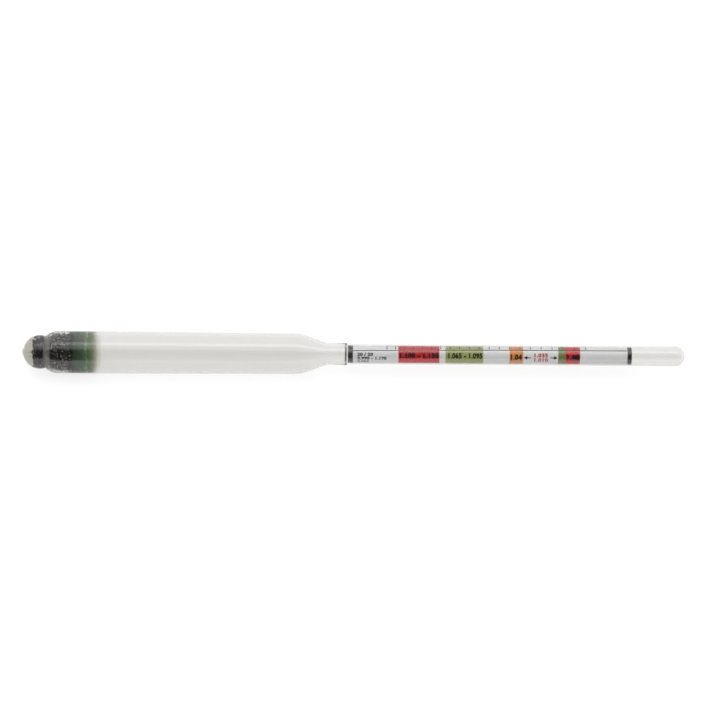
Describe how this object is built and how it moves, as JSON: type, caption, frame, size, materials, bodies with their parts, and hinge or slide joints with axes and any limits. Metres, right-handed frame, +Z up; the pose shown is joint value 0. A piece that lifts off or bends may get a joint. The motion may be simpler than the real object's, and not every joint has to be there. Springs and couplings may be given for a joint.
{
  "type": "hydrometer",
  "caption": "Sealed glass hydrometer with a ballasted bulb, a float body and a slim stem that holds a rolled paper scale.",
  "frame": {"origin": "under the middle of the instrument's length, on the surface it lies on", "axes": "+X along the axis from the ballast bulb to the tip of the stem, +Z up, +Y to the far side"},
  "size_m": [0.25, 0.0158, 0.0159],
  "materials": {
    "clear_glass": "gloss",
    "amber_resin": "gloss",
    "steel_shot": "satin",
    "green_wax": "satin",
    "olive_resin": "gloss",
    "printed_paper": "matte",
    "black_band": "matte"
  },
  "bodies": {
    "root": {"float_glass": "clear_glass", "stem_glass": "clear_glass", "nose_resin": "amber_resin", "bulb_shot": "steel_shot", "body_shot": "steel_shot", "wax_plug": "green_wax", "resin_topcoat": "olive_resin", "scale_paper": "printed_paper", "lower_scale_ring": "black_band", "upper_scale_ring": "black_band"}
  },
  "joints": []
}
